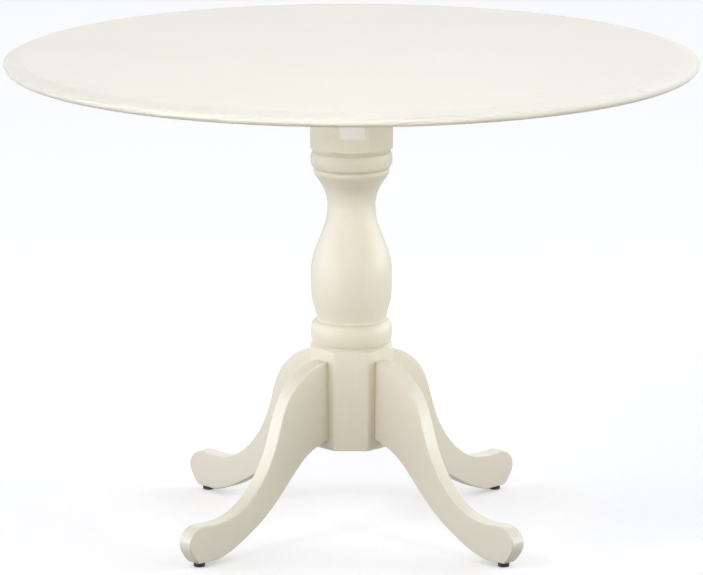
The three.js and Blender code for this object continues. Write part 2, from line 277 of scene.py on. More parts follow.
# ---------- materials ----------
class Nodes:
    """Short-hand for building one node material."""

    def __init__(self, name):
        self.mat = bpy.data.materials.new(name)
        self.mat.use_nodes = True
        self.tree = self.mat.node_tree
        self.bsdf = self.tree.nodes["Principled BSDF"]
        self.coord = self.tree.nodes.new("ShaderNodeTexCoord").outputs["Object"]

    def add(self, kind, inputs=None, **props):
        node = self.tree.nodes.new(kind)
        for key, value in props.items():
            setattr(node, key, value)
        for key, value in (inputs or {}).items():
            if isinstance(value, bpy.types.NodeSocket):
                self.tree.links.new(value, node.inputs[key])
            else:
                node.inputs[key].default_value = value
        return node

    def noise(self, scale, stretch=(1, 1, 1), detail=3, rough=0.5):
        mapping = self.add("ShaderNodeMapping", {"Vector": self.coord, "Scale": stretch})
        inputs = {"Vector": mapping.outputs[0], "Scale": scale, "Detail": detail,
                  "Roughness": rough}
        return self.add("ShaderNodeTexNoise", inputs).outputs["Fac"]

    def ramp(self, fac, stops):
        ramp = self.add("ShaderNodeValToRGB", {"Fac": fac})
        while len(ramp.color_ramp.elements) < len(stops):
            ramp.color_ramp.elements.new(0.5)
        for element, (at, colour) in zip(ramp.color_ramp.elements, stops):
            element.position = at
            element.color = (*colour, 1) if len(colour) == 3 else (colour[0],) * 3 + (1,)
        return ramp.outputs[0]

    def mix(self, fac, a, b, blend="MIX"):
        node = self.add("ShaderNodeMix", data_type="RGBA", blend_type=blend)
        for key, value in (("Factor", fac), ("A", a), ("B", b)):
            socket = next(s for s in node.inputs if s.name == key and s.enabled)
            if isinstance(value, bpy.types.NodeSocket):
                self.tree.links.new(value, socket)
            else:
                socket.default_value = value if isinstance(value, float) else (*value, 1)
        return next(s for s in node.outputs if s.enabled)

    def scaled(self, value, gain, offset):
        """value * gain + offset"""
        return self.add("ShaderNodeMath", {0: value, 1: gain, 2: offset},
                        operation="MULTIPLY_ADD").outputs[0]

    def bump(self, height, distance, strength=1.0, under=None):
        inputs = {"Height": height, "Distance": distance, "Strength": strength}
        if under is not None:
            inputs["Normal"] = under
        return self.add("ShaderNodeBump", inputs).outputs[0]

    def set(self, **values):
        for key, value in values.items():
            socket = self.bsdf.inputs[key.replace("_", " ")]
            if isinstance(value, bpy.types.NodeSocket):
                self.tree.links.new(value, socket)
            else:
                socket.default_value = value


def shade(colour, *factors):
    """The colour times one factor, or times one per channel."""
    return tuple(c * factors[i % len(factors)] for i, c in enumerate(colour))


# Painted light and shade: one paint in two tones, paler and cooler for the lit top, deeper cream for
# the shaded column and legs.
LIT_TOP_PAINT = (0.81, 0.762, 0.645)
SHADED_BASE_PAINT = (0.81, 0.742, 0.585)
# Painted light: a paler, whiter copy of the paint for the battens, so the front batten's end shows
# brightly lit beside the column's face.
LIT_BATTEN_PAINT = (0.90, 0.865, 0.78)


def paint(name, grain, base, crease_shade=0.95, coat=0.0):
    """Satin paint over wood. grain stretches the wood's fibres along a piece; the argument after
    base sets how strongly painted shade darkens corners and grooves toward a deeper tone."""
    m = Nodes(name)
    cloud = m.noise(4, (1, 1, 1), 3)
    fibre = m.noise(240, grain, 5, 0.6)
    peel = m.noise(900, (1, 1, 1), 2)
    drag = m.noise(70, grain, 3)
    tone = m.ramp(cloud, [(0.3, shade(base, 0.99, 0.985, 0.975)), (0.7, shade(base, 1.008))])
    veined = m.mix(m.ramp(fibre, [(0.34, (0.28,)), (0.5, (0,))]), tone,
                   shade(base, 0.95, 0.94, 0.915))
    # Painted shade: an ambient-occlusion mask darkens the paint toward a deeper, warmer tone in
    # corners, grooves and tight gaps.
    corner_shade_mask = m.add("ShaderNodeAmbientOcclusion", {"Distance": 0.018}, samples=8).outputs["AO"]
    m.set(Base_Color=m.mix(m.ramp(corner_shade_mask, [(0.3, (crease_shade,)), (0.93, (0,))]), veined,
                           shade(base, 0.88, 0.84, 0.76)))
    m.set(Roughness=m.scaled(drag, 0.14, 0.34))
    m.set(Normal=m.bump(fibre, 0.00016, 0.25, m.bump(peel, 0.00005, 0.3)))
    m.set(Specular_IOR_Level=0.6, Coat_Weight=coat, Coat_Roughness=0.26)
    return m.mat


def metal(name, colour, dark, rough, brushed):
    """Plated metal with fine brushing, faint stains and small scuffs."""
    m = Nodes(name)
    lines = m.noise(260, brushed, 4, 0.65)
    stain = m.noise(34, (1, 1, 1), 4, 0.6)
    scuff = m.noise(900, (1, 1, 1), 3)
    base = m.mix(m.ramp(stain, [(0.42, (0,)), (0.72, (0.55,))]), colour, dark)
    m.set(Base_Color=m.mix(m.ramp(lines, [(0.4, (0.18,)), (0.62, (0,))]), base, dark))
    m.set(Metallic=1.0)
    m.set(Roughness=m.scaled(lines, 0.22, rough - 0.1))
    m.set(Normal=m.bump(lines, 0.00005, 0.5, m.bump(scuff, 0.00003, 0.3)))
    return m.mat


def moulded(name, colour):
    """Dark moulded plastic with a fine cast texture and dusty patches."""
    m = Nodes(name)
    dust = m.noise(120, (1, 1, 1), 5, 0.65)
    cast = m.noise(2200, (1, 1, 1), 2)
    m.set(Base_Color=m.ramp(dust, [(0.4, colour), (0.78, shade(colour, 2.2))]))
    m.set(Roughness=m.scaled(dust, 0.25, 0.24))
    m.set(Normal=m.bump(cast, 0.00004, 0.5))
    return m.mat


lit_paint_top = paint("lit_paint_top", (0.05, 1, 1), LIT_TOP_PAINT, 0.5)
shaded_paint_leg = paint("shaded_paint_leg", (0.05, 1, 1), SHADED_BASE_PAINT, coat=0.55)
shaded_paint_column = paint("shaded_paint_column", (1, 1, 0.05), SHADED_BASE_PAINT, coat=0.25)
lit_paint_batten_x = paint("lit_paint_batten_x", (0.05, 1, 1), LIT_BATTEN_PAINT)
lit_paint_batten_y = paint("lit_paint_batten_y", (1, 0.05, 1), LIT_BATTEN_PAINT)
brass = metal("hinge_brass", (0.56, 0.40, 0.17), (0.30, 0.19, 0.07), 0.34, (0.06, 1, 1))
steel = metal("bracket_steel", (0.56, 0.55, 0.52), (0.36, 0.35, 0.33), 0.38, (1, 0.06, 1))
zinc = metal("fixing_zinc", (0.50, 0.50, 0.51), (0.27, 0.27, 0.28), 0.40, (1, 1, 1))
glide_black = moulded("glide_black", (0.012, 0.011, 0.0105))

# ---------- tabletop ----------
CUT_X, CUT_Z = 620, 5                 # how far the seam's cutting bodies reach past the top
EASE = 0.5                            # rounding of the two edges along a seam
rim = [(0, UNDER), (RIM_R - 80, UNDER), (RIM_R - 30, UNDER)]
rim += arc(RIM_R - 12, UNDER + 9, 12, -90, 0, 12, 9)
rim += arc(RIM_R - 0.9, UNDER + 10.7, 0.9, 0, 90, 5)
rim += [(RIM_R - 1.6, UNDER + 11.65), (RIM_R - 2.8, UNDER + 11.8), (RIM_R - 3.1, UNDER + 12.1)]
for i in range(17):
    # thumbnail from the ledge up to the quirk under the flat top's edge
    t = i / 16
    a, b, c = (1 - t) ** 2, 2 * t * (1 - t), t * t
    rim.append((a * (RIM_R - 3.2) + b * (RIM_R - 5.9) + c * (RIM_R - 24.4),
                a * (UNDER + 12.4) + b * (TOP - 3.4) + c * (TOP - 0.4)))
rim += [(RIM_R - 24.7, TOP - 0.36)] + arc(RIM_R - 25.3, TOP - 0.3, 0.3, 0, 90, 4)
rim += [(RIM_R - 60, TOP), (RIM_R - 200, TOP), (0, TOP)]


def centre_side(sign):
    """Edge of the centre panel, from above the seam down the quarter-round."""
    foot = SEAM + RULE_R
    pts = [(SEAM - EASE, TOP + CUT_Z), (SEAM - EASE, TOP + 0.01)]
    pts += arc(SEAM - EASE, TOP - EASE, EASE, 90, 0, 5)
    pts += arc(SEAM, AXIS_Z, RULE_R, 90, 0, 16)
    pts += [(foot, UNDER + 0.6), (foot - 0.6, UNDER), (foot - 0.6, UNDER - CUT_Z)]
    return [(sign * y, z) for y, z in pts]


top_disc = lathe(rim, 300, "top_disc")
centre_cut = extrude(centre_side(1) + centre_side(-1)[::-1], -CUT_X, CUT_X)
centre = boolean(copy_of(top_disc), [centre_cut], "INTERSECT")
lip_y, heel_y = SEAM + SEAM_GAP + EASE, SEAM + COVE_R
lip = [(lip_y, TOP + CUT_Z), (lip_y, TOP + 0.01)]
lip += arc(lip_y, TOP - EASE, EASE, 90, 180, 5)
lip += arc(SEAM, AXIS_Z, COVE_R, math.degrees(math.acos(SEAM_GAP / COVE_R)), 0, 16)
lip += [(heel_y, UNDER + 0.6), (heel_y + 0.6, UNDER), (heel_y + 0.6, UNDER - CUT_Z)]
lip += [(RIM_R + 20, UNDER - CUT_Z), (RIM_R + 20, TOP + CUT_Z)]
leaf = boolean(top_disc, [extrude(lip, -CUT_X, CUT_X)], "INTERSECT")

mortises = []                         # pockets for the hinge knuckles, open below
for at, sx, sy in SIDES:
    lo, hi = corners(f"hinge_fixed_{at}")
    y = sorted((sy * (SEAM - 7.5), sy * (SEAM + 4)))
    mortises.append(box(lo.x - 2, hi.x + 2, *y, UNDER - 1, AXIS_Z + 3.8))
centre = boolean(centre, mortises)
front_leaf = copy_of(leaf, Matrix.Scale(-1, 4, (0, 1, 0)))
for obj, name, body, node in ((centre, "top_centre_panel", "pedestal_frame", "top_centre"),
                              (leaf, "leaf_rear_panel", "leaf_rear", "leaf_rear"),
                              (front_leaf, "leaf_front_panel", "leaf_front", "leaf_front")):
    finish_piece(obj, name, body, lit_paint_top, [node], 28)

# ---------- pedestal column ----------
CAV_A, CAV_TOP = 42, 284              # octagonal cavity in the base, half its width and its top
WIDE = 76                             # turning radius past the octagon's corners
OCT_EASE = 2.2                        # rounding of the octagon's corners
turning = [(WIDE, BASE_Z + 1.2), (WIDE, 200), (WIDE, 280), (WIDE, 287.9)]
turning += [(WIDE - 17.2 * i / 30, 287.9 + 9.6 * i / 30) for i in range(1, 31)]
turning += [(58.9, 298.2)] + bead(299, 59.4, 334, 53.8, 63.4, 26)
turning += spline([(53.6, 336.8), (56.6, 349), (60.6, 364), (62.8, 384), (63.4, 403),
                   (62.5, 420), (58.7, 438), (52.6, 455), (45.2, 474), (39.8, 490), (37.4, 508),
                   (37.3, 518), (39.6, 530), (43.9, 542), (49.6, 551.5), (53.6, 557.5),
                   (57, 563), (58.8, 568), (58.5, 571.2), (57.3, 573)], 7)
turning += bead(573.3, 57.1, 599.6, 59.2, 63.4, 24)
turning += [(60.2, 600.4), (60.9, 602.6)]
turning += [(61 + 15 * i / 30, 603 + 9.9 * i / 30) for i in range(1, 31)]
turning += [(WIDE, 640), (WIDE, BLOCK_TOP)]


def smooth_min(a, b, k):
    h = min(1, max(0, 0.5 + 0.5 * (b - a) / k))
    return b * (1 - h) + a * h - k * h * (1 - h)


def octagon_r(theta, half):
    """Radius of an octagon with eased corners; flats face the axes and the diagonals."""
    phi = (theta + math.pi / 8) % (math.pi / 4) - math.pi / 8
    return smooth_min(half / math.cos(phi), half / math.cos(math.pi / 4 - abs(phi)), OCT_EASE)


def octagon(half):
    return lambda theta: octagon_r(theta, half)


def turned_octagon(r):
    """The octagonal blank turned down to radius r, with soft transitions."""
    def radius(theta):
        flat = octagon_r(theta, OCT_A)
        return smooth_min(r, flat, 0.5) if abs(r - flat) < 4 else min(r, flat)
    return radius


def column_angles():
    """Angles round the column, closer together near the octagon's corners."""
    out = []
    for face in range(8):
        for i in range(36):
            s = (i / 36 - 0.5) * 2
            out.append(math.pi / 4 * face + math.pi / 8 * math.copysign(abs(s) ** 0.7, s))
    return out


rings = [(CAV_TOP, None), (CAV_TOP, octagon(CAV_A)), (BASE_Z + 1, octagon(CAV_A)),
         (BASE_Z, octagon(CAV_A + 1)), (BASE_Z, octagon(OCT_A - 1.2)),
         (BASE_Z + 0.35, octagon(OCT_A - 0.35))]
rings += [(z, turned_octagon(r)) for r, z in turning] + [(BLOCK_TOP, None)]
column = ringed("column", column_angles(), rings)
bat_lo, bat_hi = corners("batten_lengthwise")
cross_lo, cross_hi = corners("batten_crosswise")
w = bat_hi.x                          # half a batten's width
SLOT_W, SLOT_REACH = w + 0.9, 90
column = boolean(column, [
    box(-SLOT_W, SLOT_W, -SLOT_REACH, SLOT_REACH, bat_lo.z - 0.4, BLOCK_TOP + 5),
    box(-SLOT_REACH, SLOT_REACH, -SLOT_W, SLOT_W, bat_lo.z - 0.4, BLOCK_TOP + 5)])
finish_piece(column, "column_turned", "pedestal_frame", shaded_paint_column,
             ["pedestal_column"], 26)

# ---------- battens ----------
BORE = 28                             # depth of the counterbores for the panel bolts
lap = (bat_lo.z + bat_hi.z) / 2
bolt_at = {n: middle(f"top_bolt_{n}") for n in ("front", "rear", "left", "right")}


def batten(half, z0, z1, notch):
    """Bar along Y with its half-lap notch across the middle."""
    bar = extrude([(-half, z1), (-half, z0), (half, z0), (half, z1)], -w, w)
    hole = box(-w - 1, w + 1, -w - GAP, w + GAP, *notch)
    return bevel(boolean(bar, [hole]), 1.6, 3)


length_bar = batten(bat_hi.y, bat_lo.z, bat_hi.z, (bat_lo.z - 1, lap + GAP / 2))
cross_bar = batten(cross_hi.x, cross_lo.z, cross_hi.z, (lap - GAP / 2, cross_hi.z + 1))
move(cross_bar, turn_z(90))


def counterbore(at):
    z = bat_lo.z
    hole = lathe([(0, z - 5), (8.6, z - 5), (8.6, z + 0.1), (8, z + 0.7), (8, z + BORE),
                  (0, z + BORE)], 48)
    return move(hole, shift(at.x, at.y))


length_bar = boolean(length_bar, [counterbore(bolt_at["front"]), counterbore(bolt_at["rear"])])
cross_bar = boolean(cross_bar, [counterbore(bolt_at["left"]), counterbore(bolt_at["right"])])
finish_piece(length_bar, "batten_front_to_back", "pedestal_frame", lit_paint_batten_y,
             ["batten_lengthwise"])
finish_piece(cross_bar, "batten_side_to_side", "pedestal_frame", lit_paint_batten_x,
             ["batten_crosswise"])


# ---------- hex bolts ----------
def hex_bolt(across, head, shaft_r, length):
    """Chamfered hex head from -head to 0 along Z, washer at 0, threaded shank up to length."""
    corner, pitch = across / math.sqrt(3), 1.25
    body = extrude([(corner * math.cos(math.tau * k / 6), corner * math.sin(math.tau * k / 6))
                    for k in range(6)], -head, -1.4, "z")
    cone = lathe([(0, -head), (across / 2 - 0.2, -head), (corner + 0.3, -head + 1.2),
                  (corner + 0.3, -1.4), (0, -1.4)], 48)
    body = boolean(body, [cone], "INTERSECT")
    washer = lathe([(0, -1.5), (corner + 0.1, -1.5), (corner + 0.3, -1.3), (corner + 0.3, -0.2),
                    (corner + 0.1, 0), (0, 0)], 48)
    shank = [(0, -0.5), (shaft_r, -0.5), (shaft_r, length * 0.35)]
    for k in range(int(length * 0.6 / pitch)):
        z = length * 0.37 + k * pitch
        shank += [(shaft_r, z), (shaft_r - 0.6, z + 0.6)]
    shank += [(shaft_r - 0.8, length), (0, length)]
    return joined([body, washer, lathe(shank, 24)])


top_bolt = hex_bolt(11, 6.0, 2.9, 40)
for name, spot in bolt_at.items():
    bolt = copy_of(top_bolt, shift(spot.x, spot.y, bat_lo.z + BORE - 0.1))
    finish_piece(bolt, f"panel_bolt_{name}", "pedestal_frame", zinc,
                 [f"top_bolt_{name}"])
bpy.data.objects.remove(top_bolt)

# ---------- legs and glides ----------
# Side outline as (distance from the column's axis, height): the top edge outward, then back below.
leg_top = [(44, 277.6), (56, 277.5), (68, 277), (87, 274), (104, 267.5), (120, 258), (134, 246.5),
           (146, 233), (154.5, 218), (160.5, 204), (166, 188), (171.5, 172), (178.5, 154),
           (188, 135.5), (200, 117.5), (214, 101.5), (230, 87), (248, 75.5), (268, 67.5), (288, 64),
           (308, 63.3), (328, 64.5), (341, 62), (350.5, 55), (356.8, 45), (357, 34), (352, 23.5),
           (344.5, 13.5), (338, 7.4)]
leg_under = [(314, 7), (300, 7), (284, 10.5), (264, 17.5), (244, 27), (224, 38), (204, 50.3),
             (186, 64), (169.5, 78.5), (154, 93.5), (139.5, 108), (126.5, 120.5), (113, 131.5),
             (98, 140.5), (82, 147), (66, 152), (54, 155), (44, 157)]
LEG_T, FOOT_Z = 25, 6.5               # thickness, and height of the foot's flat underside
leg = extrude(spline(leg_top, 5) + spline(leg_under, 5), -LEG_T / 2, LEG_T / 2, "y")
leg = bevel(leg, 4.6, 6, 60)
bm = bmesh.new()
bm.from_mesh(leg.data)
for point, normal in (((OCT_A + GAP, 0, 0), (1, 0, 0)), ((0, 0, FOOT_Z), (0, 0, 1))):
    cut = bmesh.ops.bisect_plane(bm, geom=bm.verts[:] + bm.edges[:] + bm.faces[:], dist=1e-7,
                                 plane_co=Vector(point) * MM, plane_no=normal, clear_inner=True)
    rim_edges = [e for e in cut["geom_cut"] if isinstance(e, bmesh.types.BMEdge)]
    bmesh.ops.holes_fill(bm, edges=rim_edges)
bm.to_mesh(leg.data)
bm.free()
glide_r = math.hypot(*record["mounts"][1]["pos_m"][:2]) / MM
glide = lathe([(0, 0)] + arc(7.6, 1.2, 1.2, -90, 0, 6) + arc(8, 4.6, 0.9, 0, 60, 5)
              + [(7.2, 6.1), (3, 6.2), (3, 20), (0, 20)], 48)
leg_bolt = hex_bolt(13, 5.0, 3.9, 62)
BOLT_Z = {k: middle(f"leg_bolt_{k}_rear_right").z for k in ("lower", "upper")}
LEG_ANGLE = {"rear_right": 45, "rear_left": 135, "front_left": 225, "front_right": 315}
for at, angle in LEG_ANGLE.items():
    # the texture of each leg is turned with it, so its grain runs out along the leg
    piece = new_object(f"leg_{at}_curved", leg.data.copy())
    tidy_mesh(piece.data, 28)
    level_normals(piece)
    piece.data.materials.append(shaded_paint_leg)
    piece.matrix_world = turn_z(angle)
    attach(piece, "pedestal_frame")
    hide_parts(f"leg_{at}")
    finish_piece(copy_of(glide, turn_z(angle) @ shift(glide_r)), f"glide_{at}_black",
                 "pedestal_frame", glide_black, [f"glide_{at}"])
    for level, z in BOLT_Z.items():
        aim = turn_z(angle) @ shift(CAV_A - 0.4, 0, z) @ HALF_TURN_Y
        finish_piece(copy_of(leg_bolt, aim), f"root_bolt_{level}_{at}", "pedestal_frame", zinc,
                     [f"leg_bolt_{level}_{at}"])
for spare in (leg, glide, leg_bolt):
    bpy.data.objects.remove(spare)


# ---------- flat metal parts: outline with holes, eased edges ----------
def flat_part(outline, holes, thick, ease=0.25):
    """Plate in the XY plane, centred on z = 0, with round holes given as (x, y, radius)."""
    cu = bpy.data.curves.new("flat", "CURVE")
    cu.dimensions, cu.fill_mode = "2D", "BOTH"
    cu.extrude, cu.bevel_depth, cu.offset = (thick / 2 - ease) * MM, ease * MM, -ease * MM
    cu.bevel_resolution = 2
    loops = [outline] + [arc(x, y, r, 0, 360 - 15, 23) for x, y, r in holes]
    for loop in loops:
        sp = cu.splines.new("POLY")
        sp.points.add(len(loop) - 1)
        for p, (x, y) in zip(sp.points, loop):
            p.co = (x * MM, y * MM, 0, 1)
        sp.use_cyclic_u = True
    obj = new_object("flat", cu)
    bpy.context.view_layer.update()
    me = bpy.data.meshes.new_from_object(obj.evaluated_get(bpy.context.evaluated_depsgraph_get()))
    bpy.data.objects.remove(obj)
    part = new_object("flat", me)
    tidy_mesh(me)
    return part


def rounded(x0, x1, y0, y1, r, n=6):
    return (arc(x1 - r, y1 - r, r, 0, 90, n) + arc(x0 + r, y1 - r, r, 90, 180, n)
            + arc(x0 + r, y0 + r, r, 180, 270, n) + arc(x1 - r, y0 + r, r, 270, 360, n))


def screw_mesh(head_r=3.7):
    """Countersunk cross-head screw; the head's face is at z = 0, looking down."""
    head = lathe([(0, -0.45)] + arc(0, 3.6, 4.05, -90, -62, 5)[1:]
                 + [(head_r * 0.86, -0.12), (head_r, 0.05), (head_r, 0.3), (1.6, 2.2), (1.6, 9),
                    (0.2, 11), (0, 11)], 32)
    cross = []
    for a in (0, 90):
        blade = extrude([(-1.9, -2), (1.9, -2), (1.9, -0.3), (0.8, 1.2), (-0.8, 1.2), (-1.9, -0.3)],
                        -0.42, 0.42, "y")
        cross.append(move(blade, turn_z(a)))
    return boolean(head, cross)


SCREW = screw_mesh()
random.seed(7)


def screws(name, body, spots):
    """Screws driven upward, each turned by its own amount; a spot is (x, y, z) of a head's face."""
    parts = [copy_of(SCREW, shift(*p) @ turn_z(random.uniform(0, 90))) for p in spots]
    return finish_piece(joined(parts), name, body, zinc)


# ---------- drop-leaf hinges ----------
PLATE_T, KNUCKLE_R, PIN_R, HINGE_L = 1.5, 3.0, 1.4, 50
PLATE_Z = UNDER - GAP - PLATE_T / 2
HINGE_X = middle("hinge_fixed_rear_right").x
half_l, quarter = HINGE_L / 2, HINGE_L / 4
HOLE_R = 2.3                          # screw holes
ON_AXIS = shift(0, SEAM, AXIS_Z) @ HALF_TURN_Y
# u is measured outward from the hinge axis; screws are (x, u)
FIXED = {"u": (-32, -7), "screws": [(-16, -24), (16, -24), (0, -16)]}
MOVING = {"u": (7, 45), "screws": [(-16, 20), (16, 20), (0, 36)]}


def barrel(x0, x1):
    bore, ease = PIN_R + GAP, 0.3
    tube = lathe([(bore, x0), (KNUCKLE_R - ease, x0), (KNUCKLE_R, x0 + ease),
                  (KNUCKLE_R, x1 - ease), (KNUCKLE_R - ease, x1), (bore, x1), (bore, x0)], 32)
    return move(tube, ON_AXIS)


def hinge_plate(spec, knuckles, side):
    """Plate with its knuckles, each on a tab that runs under the axis; side is -1 for the fixed."""
    holes = [(x, u, HOLE_R) for x, u in spec["screws"]]
    plate = flat_part(rounded(-half_l, half_l, *spec["u"], 2.2), holes, PLATE_T)
    parts = [move(plate, shift(0, SEAM, PLATE_Z))]
    z0, z1 = PLATE_Z - PLATE_T / 2, PLATE_Z + PLATE_T / 2
    y0, y1 = sorted((SEAM - side * 0.8, SEAM + side * 8.4))
    for x0, x1 in knuckles:
        parts += [barrel(x0, x1),
                  bevel(box(x0, x1, y0, y1, z0, z1), 0.25, 2),
                  box(x0, x1, SEAM - 1.5, SEAM + 1.5, z0 + 0.2, AXIS_Z - PIN_R - 0.5)]
    return joined(parts)


fixed = hinge_plate(FIXED, [(-half_l, -quarter - 0.2), (quarter + 0.2, half_l)], -1)
moving = hinge_plate(MOVING, [(-quarter + 0.2, quarter - 0.2)], 1)
pin = lathe([(0, -half_l - 0.5), (PIN_R - 0.3, -half_l - 0.5), (PIN_R, -half_l - 0.2),
             (PIN_R, half_l + 0.2), (PIN_R - 0.3, half_l + 0.5), (0, half_l + 0.5)], 24)
move(pin, ON_AXIS)
for at, sx, sy in SIDES:
    spot = Matrix.Diagonal((sx, sy, 1, 1)) @ shift(HINGE_X)
    leaf_body = "leaf_front" if sy < 0 else "leaf_rear"
    finish_piece(copy_of(fixed, spot), f"hinge_plate_fixed_{at}", "pedestal_frame", brass,
                 [f"hinge_fixed_{at}"])
    finish_piece(copy_of(moving, spot), f"hinge_plate_moving_{at}", leaf_body, brass,
                 [f"hinge_moving_{at}"])
    finish_piece(copy_of(pin, spot), f"hinge_axle_{at}", "pedestal_frame", brass,
                 [f"hinge_pin_{at}"])
    face = PLATE_Z - PLATE_T / 2
    for spec, body, word in ((FIXED, "pedestal_frame", "fixed"), (MOVING, leaf_body, "moving")):
        screws(f"hinge_screws_{word}_{at}", body,
               [(sx * (HINGE_X + x), sy * (SEAM + u), face) for x, u in spec["screws"]])
for spare in (fixed, moving, pin):
    bpy.data.objects.remove(spare)

# ---------- folding leaf brackets ----------
# Built at the rear right. Fixed pivot, elbow, leaf pivot and hinge axis form a parallelogram.
ARM_W, ARM_T, EAR_T, STUD_R = 15, 2.5, 2.0, 3.0
LAYER = 0.4                           # space between neighbouring arms and ears
HEAD_R, HEAD_H = 5.2, 1.4             # rivet heads
PIVOT_A = tuple(PIVOT["arm_inner_rear_right_turn"][1:])
ELBOW = tuple(PIVOT["arm_outer_rear_right_turn"][1:])
PIVOT_B = (ELBOW[0] - PIVOT_A[0] + SEAM, ELBOW[1] - PIVOT_A[1] + AXIS_Z)
INNER_X = tuple(c.x for c in corners("arm_inner_rear_right"))
OUTER_X = tuple(c.x for c in corners("arm_outer_rear_right"))
TO_YZ = Matrix(((0, 0, 1, 0), (1, 0, 0, 0), (0, 1, 0, 0), (0, 0, 0, 1)))


def arm(p, q, x_range):
    """Flat arm with round ends and a bored hole at each of its two pivots."""
    length = math.dist(p, q)
    outline = (arc(length, 0, ARM_W / 2, -90, 90, 12) + arc(0, 0, ARM_W / 2, 90, 270, 12))
    bar = flat_part(outline, [(0, 0, STUD_R + GAP), (length, 0, STUD_R + GAP)], ARM_T, 0.35)
    tilt = Matrix.Rotation(math.atan2(q[1] - p[1], q[0] - p[0]), 4, "Z")
    return move(bar, shift(sum(x_range) / 2, *p) @ TO_YZ @ tilt)


def dome(x_from, x_to, r, at):
    """Domed rivet head on the x axis, growing from x_from to x_to."""
    rise = abs(x_to - x_from)
    sign = 1 if x_to > x_from else -1
    head = lathe([(0, 0), (r, 0), (r, rise * 0.35)]
                 + arc(0, rise * 0.35, r, 0, 90, 6, rise * 0.65)[1:], 32)
    return move(head, shift(x_from, *at) @ Matrix.Rotation(sign * math.pi / 2, 4, "Y"))


def shaft(x0, x1, r, at):
    body = lathe([(0, x0), (r, x0), (r, x1), (0, x1)], 24)
    return move(body, shift(0, *at) @ HALF_TURN_Y)


def angle_plate(pivot, ear, away, arm_x):
    """Bent plate: flange under the wood, ear beside the arm, headed stud through the arm.

    ear is the ear's span in x; away is the side, in x, that the flange turns to."""
    y, z = pivot
    z1 = UNDER - GAP
    near, far = ear if away > 0 else ear[::-1]
    hole_x = near + away * 11
    flange = flat_part(rounded(*sorted((near + away * 1.2, near + away * 20)), y - 26, y + 26, 3),
                       [(hole_x, y - 17, HOLE_R), (hole_x, y + 17, HOLE_R)], EAR_T)
    move(flange, shift(0, 0, z1 - EAR_T / 2))
    outline = [(y + 26, z1 - 1.2), (y - 26, z1 - 1.2), (y - 25.2, z1 - 3.4), (y - 9.6, z - 3.2)] \
        + arc(y, z, 9, 205, 335, 12) + [(y + 9.6, z - 3.2), (y + 25.2, z1 - 3.4)]
    side = flat_part(outline, [], EAR_T)
    move(side, shift(sum(ear) / 2) @ TO_YZ)
    bend = extrude(
        [(near, z1 - 2.2)] + arc(near + away * 2, z1 - 2, 2, 180 if away > 0 else 0, 90, 6)
        + [(near + away * 2.4, z1), (near + away * 2.4, z1 - EAR_T), (far, z1 - EAR_T),
           (far, z1 - 2.2)], y - 25.9, y + 25.9, "y")
    head = (arm_x[0] if away > 0 else arm_x[1]) - away * LAYER
    stud = [shaft(*sorted((head, near + away * 0.5)), STUD_R, pivot),
            dome(head, head - away * HEAD_H, HEAD_R, pivot),
            dome(far - away * 0.1, far + away * 1.1, 4.2, pivot)]
    return joined([flange, side, bend] + stud), hole_x


fixed_ear = (INNER_X[1] + LAYER, INNER_X[1] + LAYER + EAR_T)
leaf_ear = (OUTER_X[0] - LAYER - EAR_T, OUTER_X[0] - LAYER)
fixed_plate, fixed_hole_x = angle_plate(PIVOT_A, fixed_ear, 1, INNER_X)
leaf_plate, leaf_hole_x = angle_plate(PIVOT_B, leaf_ear, -1, OUTER_X)
inner_arm = arm(PIVOT_A, ELBOW, INNER_X)
outer_arm = arm(ELBOW, PIVOT_B, OUTER_X)
riv0, riv1 = OUTER_X[0] - LAYER, INNER_X[1] + LAYER
rivet = joined([shaft(riv0, riv1, STUD_R, ELBOW), dome(riv0, riv0 - HEAD_H, HEAD_R, ELBOW),
                dome(riv1, riv1 + HEAD_H, HEAD_R, ELBOW)])
for at, sx, sy in SIDES:
    spot = Matrix.Diagonal((sx, sy, 1, 1))
    leaf_body = "leaf_front" if sy < 0 else "leaf_rear"
    for source, name, body, material, slot, node in (
            (fixed_plate, "angle_fixed", "pedestal_frame", steel, "bracket_steel", "bracket_fixed"),
            (leaf_plate, "angle_leaf", leaf_body, steel, "bracket_steel", "bracket_leaf"),
            (inner_arm, "stay_inner", f"arm_inner_{at}", steel, "bracket_steel", "arm_inner"),
            (outer_arm, "stay_outer", f"arm_outer_{at}", steel, "bracket_steel", "arm_outer"),
            (rivet, "stay_rivet", f"arm_inner_{at}", zinc, "fixing_zinc", "elbow_rivet")):
        finish_piece(copy_of(source, spot), f"{name}_{at}", body, material, [f"{node}_{at}"])
    face = UNDER - GAP - EAR_T
    for word, body, hole_x, pivot in (("fixed", "pedestal_frame", fixed_hole_x, PIVOT_A),
                                      ("leaf", leaf_body, leaf_hole_x, PIVOT_B)):
        screws(f"angle_screws_{word}_{at}", body,
               [(sx * hole_x, sy * (pivot[0] + d), face) for d in (-17, 17)])
for spare in (fixed_plate, leaf_plate, inner_arm, outer_arm, rivet, SCREW):
    bpy.data.objects.remove(spare)

# ---------- stage, light and camera ----------
FLOOR = 30000                         # half the floor's width
floor = new_object("floor", mesh_from("floor", [(-FLOOR, -FLOOR, 0), (FLOOR, -FLOOR, 0),
                                                (FLOOR, FLOOR, 0), (-FLOOR, FLOOR, 0)],
                                      [(0, 1, 2, 3)]))
pale = Nodes("studio_floor")
pale.set(Base_Color=pale.ramp(pale.noise(2, (1, 1, 1), 2), [(0, (0.88,)), (1, (0.90,))]),
         Roughness=0.9, Specular_IOR_Level=0.0, Emission_Color=(1, 0.92, 0.84, 1),
         Emission_Strength=0.265)
floor.data.materials.append(pale.mat)
floor.visible_diffuse = False

# Studio surroundings: soft walls of light, each a band of height times one side of the room.
world = bpy.data.worlds.new("studio")
bpy.context.scene.world = world
world.use_nodes = True


